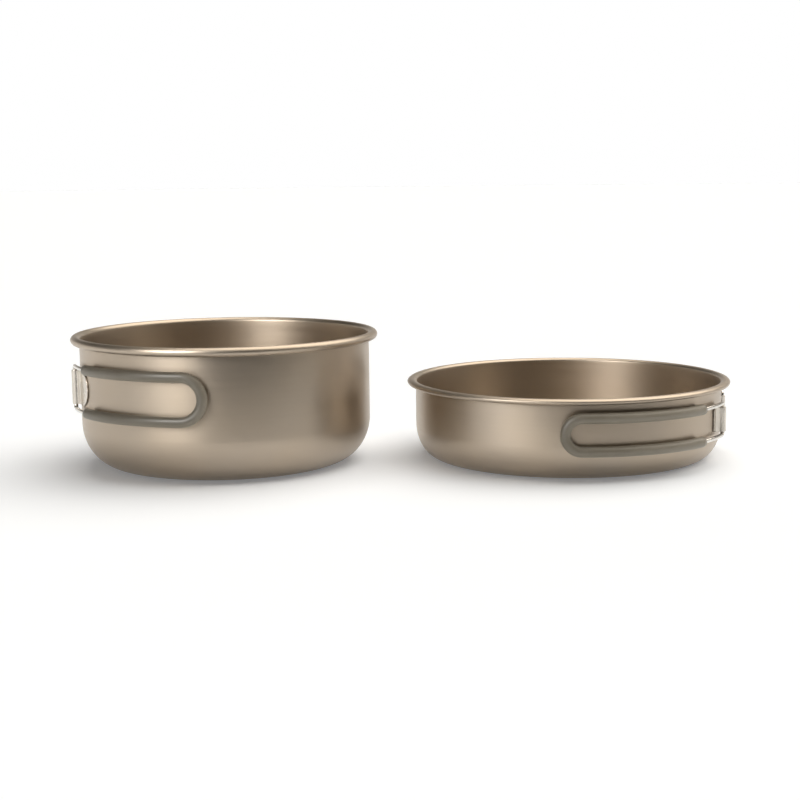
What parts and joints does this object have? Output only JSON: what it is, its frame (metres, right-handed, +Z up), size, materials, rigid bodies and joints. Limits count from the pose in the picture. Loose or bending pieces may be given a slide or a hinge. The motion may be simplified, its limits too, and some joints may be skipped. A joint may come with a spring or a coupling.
{
  "type": "camping cook pot set",
  "caption": "Deep pot and shallow pan in thin satin titanium with rolled rims, each with a welded bracket and folding wire butterfly handles in soft sleeves.",
  "frame": {"origin": "centre of the pot's flat base, on the surface that both vessels stand on", "axes": "+X from the pot to the pan, -Y to the front, +Z up; each bracket faces outwards at its end of the pair"},
  "size_m": [0.3171, 0.1571, 0.0626],
  "materials": {
    "titanium": "satin titanium, fine turned grain, warm grey",
    "stainless_steel": "bright stainless steel wire and stamped sheet",
    "silicone": "matt warm grey silicone tube"
  },
  "bodies": {
    "pot": {"pot_body": "titanium", "pot_bracket": "stainless_steel"},
    "pot_front_handle": {"pot_front_handle_wire": "stainless_steel", "pot_front_handle_sleeve": "silicone"},
    "pot_rear_handle": {"pot_rear_handle_wire": "stainless_steel", "pot_rear_handle_sleeve": "silicone"},
    "pan": {"pan_body": "titanium", "pan_bracket": "stainless_steel"},
    "pan_front_handle": {"pan_front_handle_wire": "stainless_steel", "pan_front_handle_sleeve": "silicone"},
    "pan_rear_handle": {"pan_rear_handle_wire": "stainless_steel", "pan_rear_handle_sleeve": "silicone"}
  },
  "joints": [
    {"name": "pot_front_handle_swing", "type": "hinge", "parent": "pot", "child": "pot_front_handle", "pos_m": [-0.06966, -0.01779, 0.0392], "axis": [0, 0, -1], "range_deg": [0, 140]},
    {"name": "pot_rear_handle_swing", "type": "hinge", "parent": "pot", "child": "pot_rear_handle", "pos_m": [-0.06934, 0.01901, 0.0392], "axis": [0, 0, 1], "range_deg": [0, 140]},
    {"name": "pan_front_handle_swing", "type": "hinge", "parent": "pan", "child": "pan_front_handle", "pos_m": [0.23382, -0.03515, 0.0212], "axis": [0, 0, 1], "range_deg": [0, 140]},
    {"name": "pan_rear_handle_swing", "type": "hinge", "parent": "pan", "child": "pan_rear_handle", "pos_m": [0.24235, 0.00064, 0.0212], "axis": [0, 0, -1], "range_deg": [0, 140]},
    {"name": "pan_lift", "type": "slide", "parent": "pot", "child": "pan", "axis": [0, 0, 1], "range_m": [0, 0.1]}
  ]
}
